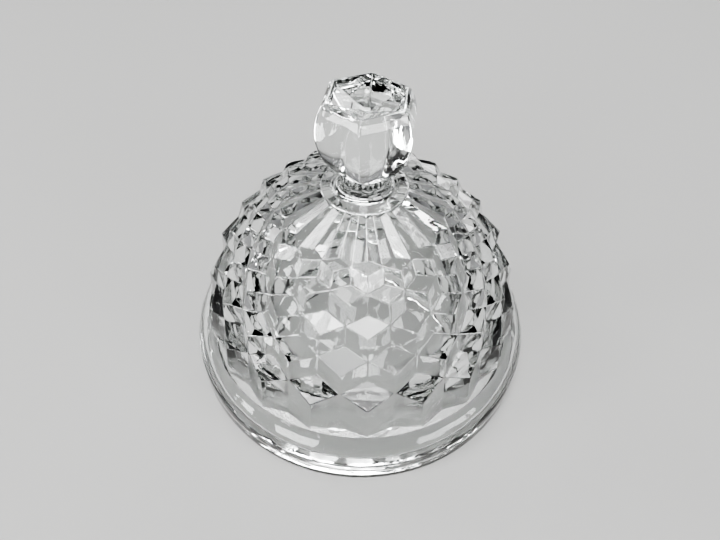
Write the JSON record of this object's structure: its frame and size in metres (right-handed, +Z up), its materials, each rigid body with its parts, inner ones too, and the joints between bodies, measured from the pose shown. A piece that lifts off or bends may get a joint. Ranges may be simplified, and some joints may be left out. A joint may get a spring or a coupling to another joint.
{
  "type": "jar cover",
  "caption": "Clear pressed-glass domed jar cover with a relief of stacked cubes, radial flutes, a plain rim and a six-sided finial.",
  "frame": {"origin": "centre of the rim's foot, on the surface that the cover stands on", "axes": "+Z up along the cover's axis, from the mouth to the finial; -Y is the front"},
  "size_m": [0.1148, 0.1148, 0.0924],
  "materials": {
    "dome_glass": "clear, fire-polished pressed glass",
    "finial_glass": "clear, fire-polished pressed glass"
  },
  "bodies": {
    "root": {"dome_cover": "dome_glass", "finial": "finial_glass"}
  },
  "joints": []
}
